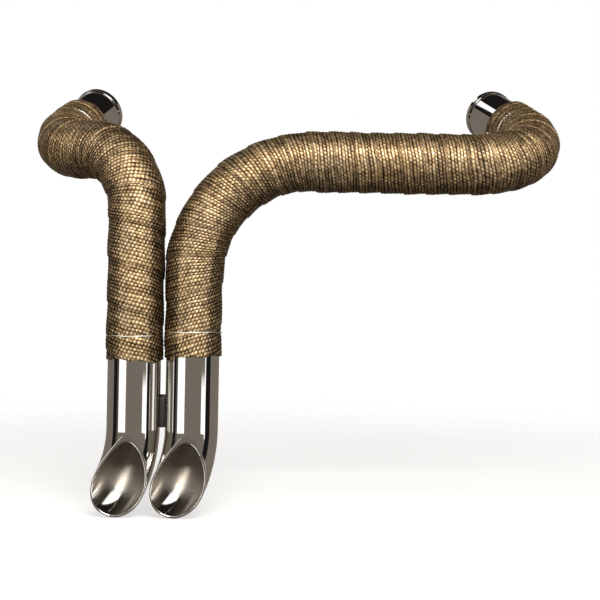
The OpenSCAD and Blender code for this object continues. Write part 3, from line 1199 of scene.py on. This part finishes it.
def build_floor(middle, level, sizes):
    """A round pale floor that fades out towards its edge."""
    rings, around = 24, 72
    verts, faces = [(middle.x, middle.y, level)], []
    for k in range(1, rings + 1):
        for a in round_angles(around):
            r = sizes.floor_radius * k / rings
            verts.append((middle.x + r * math.cos(a), middle.y + r * math.sin(a), level))
    for a in range(around):
        faces.append([0, 1 + a, 1 + (a + 1) % around])
        for k in range(rings - 1):
            i, j = 1 + k * around + a, 1 + k * around + (a + 1) % around
            faces.append([i, i + around, j + around, j])
    mesh = bpy.data.meshes.new("floor")
    mesh.from_pydata(verts, [], faces)
    mesh.attributes.new("fade", "FLOAT", "POINT").data.foreach_set(
        "value", [0.0] + [k / rings for k in range(1, rings + 1) for _ in range(around)]
    )
    floor = bpy.data.objects.new("floor", mesh)
    bpy.context.scene.collection.objects.link(floor)
    made, g = material("pale_floor")
    g.surface(
        Base_Color=tuple(sizes.floor),
        Roughness=0.6,
        Alpha=1 - g.attribute("fade").rise(0.35, 0.98),
        Emission_Color=(1.0, 1.0, 1.0, 1.0),
        Emission_Strength=0.6,
    )
    mesh.materials.append(made)
    floor.visible_diffuse = floor.visible_glossy = False


def build_lights(low, high, middle, sizes):
    """A key light for everything, and a wide light and two side lights for the dull pieces."""
    key_place, centre = (middle.x + 0.15, -1.15, 0.95), tuple(middle)
    soft_light("key", key_place, centre, (0.9, 0.5), sizes.key, (1.0, 0.97, 0.93))
    pieces = bpy.context.scene.objects
    dull = [piece for piece in pieces if piece.name.endswith(("_heat_wrap", "_wire"))]
    sheet = Vector((middle.x + 0.3, middle.y - 1.2, middle.z + 1.05))
    ahead = sheet + Vector((0, 1, 0))
    soft_light("sheet", sheet, ahead, (4.2, 3.4), sizes.sheet, (1.0, 0.99, 0.97), dull)
    for side, lamp_x, aim_x in (("left", low.x - 0.72, low.x), ("right", high.x + 0.6, high.x)):
        place = (lamp_x, middle.y - 0.3, high.z + 0.3)
        aim = (aim_x, middle.y, high.z - 0.06)
        soft_light(side, place, aim, (0.6, 0.6), sizes.side, (1.0, 0.95, 0.86), dull)


def build_camera(sizes):
    """The camera, level and square on to the plane of the tails."""
    camera = bpy.data.objects.new("camera", bpy.data.cameras.new("camera"))
    camera.data.sensor_width, camera.data.lens = 36.0, sizes.lens
    tails_y = (FRONT_TAIL[0].y + FRONT_TAIL[1].y) / 2
    between = (FRONT_TAIL[0].x + REAR_TAIL[1].x) / 2
    place = Vector((
        between + 113.8 * MM, tails_y - sizes.distance, FRONT_TAIL[0].z + 109.6 * MM
    ))
    level, roll = Matrix.Rotation(math.pi / 2, 4, "X"), Matrix.Rotation(sizes.roll, 4, "Z")
    camera.matrix_world = Matrix.Translation(place) @ level @ roll
    bpy.context.scene.collection.objects.link(camera)
    bpy.context.scene.camera = camera


class DRAGPIPES_OT_stage(Operator):
    """Set up the floor, the lights and the camera"""

    bl_idname = "drag_pipes.stage"
    bl_label = "Stage"

    def execute(self, context):
        sizes = context.scene.drag_stage
        context.scene.view_settings.view_transform = "Standard"
        low, high = CAD_BOX
        middle = (low + high) / 2
        build_floor(middle, low.z - 0.5 * MM, sizes)
        room_world(sizes)
        build_lights(low, high, middle, sizes)
        build_camera(sizes)
        return {"FINISHED"}


class DRAGPIPES_PT_sidebar(Panel):
    """Lists the pieces that can be built"""

    bl_label = "Drag pipes"
    bl_idname = "DRAGPIPES_PT_sidebar"
    bl_space_type = "VIEW_3D"
    bl_region_type = "UI"
    bl_category = "Drag pipes"

    def draw(self, context):
        for group in GROUPS:
            sizes = getattr(context.scene, group)
            box = self.layout.box()
            for key in sizes.__annotations__:
                box.prop(sizes, key)
        for operator in OPERATORS:
            self.layout.operator(operator.bl_idname)


OPERATORS = (
    DRAGPIPES_OT_tailpipes,
    DRAGPIPES_OT_head_tubes,
    DRAGPIPES_OT_collars,
    DRAGPIPES_OT_covered_tubes,
    DRAGPIPES_OT_wraps,
    DRAGPIPES_OT_ties,
    DRAGPIPES_OT_bracket,
    DRAGPIPES_OT_welds,
    DRAGPIPES_OT_stage,
)
GROUPS = {
    "drag_tube": TubeSizes,
    "drag_wrap": WrapSizes,
    "drag_tie": TieSizes,
    "drag_bracket": BracketSizes,
    "drag_stage": StageSizes,
}


def register():
    for group in GROUPS.values():
        bpy.utils.register_class(group)
    for name, group in GROUPS.items():
        setattr(bpy.types.Scene, name, PointerProperty(type=group))
    for operator in OPERATORS:
        bpy.utils.register_class(operator)
    bpy.utils.register_class(DRAGPIPES_PT_sidebar)


def unregister():
    bpy.utils.unregister_class(DRAGPIPES_PT_sidebar)
    for operator in reversed(OPERATORS):
        bpy.utils.unregister_class(operator)
    for name, group in GROUPS.items():
        delattr(bpy.types.Scene, name)
        bpy.utils.unregister_class(group)


def main():
    register()
    for operator in OPERATORS:
        family, name = operator.bl_idname.split(".")
        getattr(getattr(bpy.ops, family), name)()


if __name__ == "__main__":
    main()
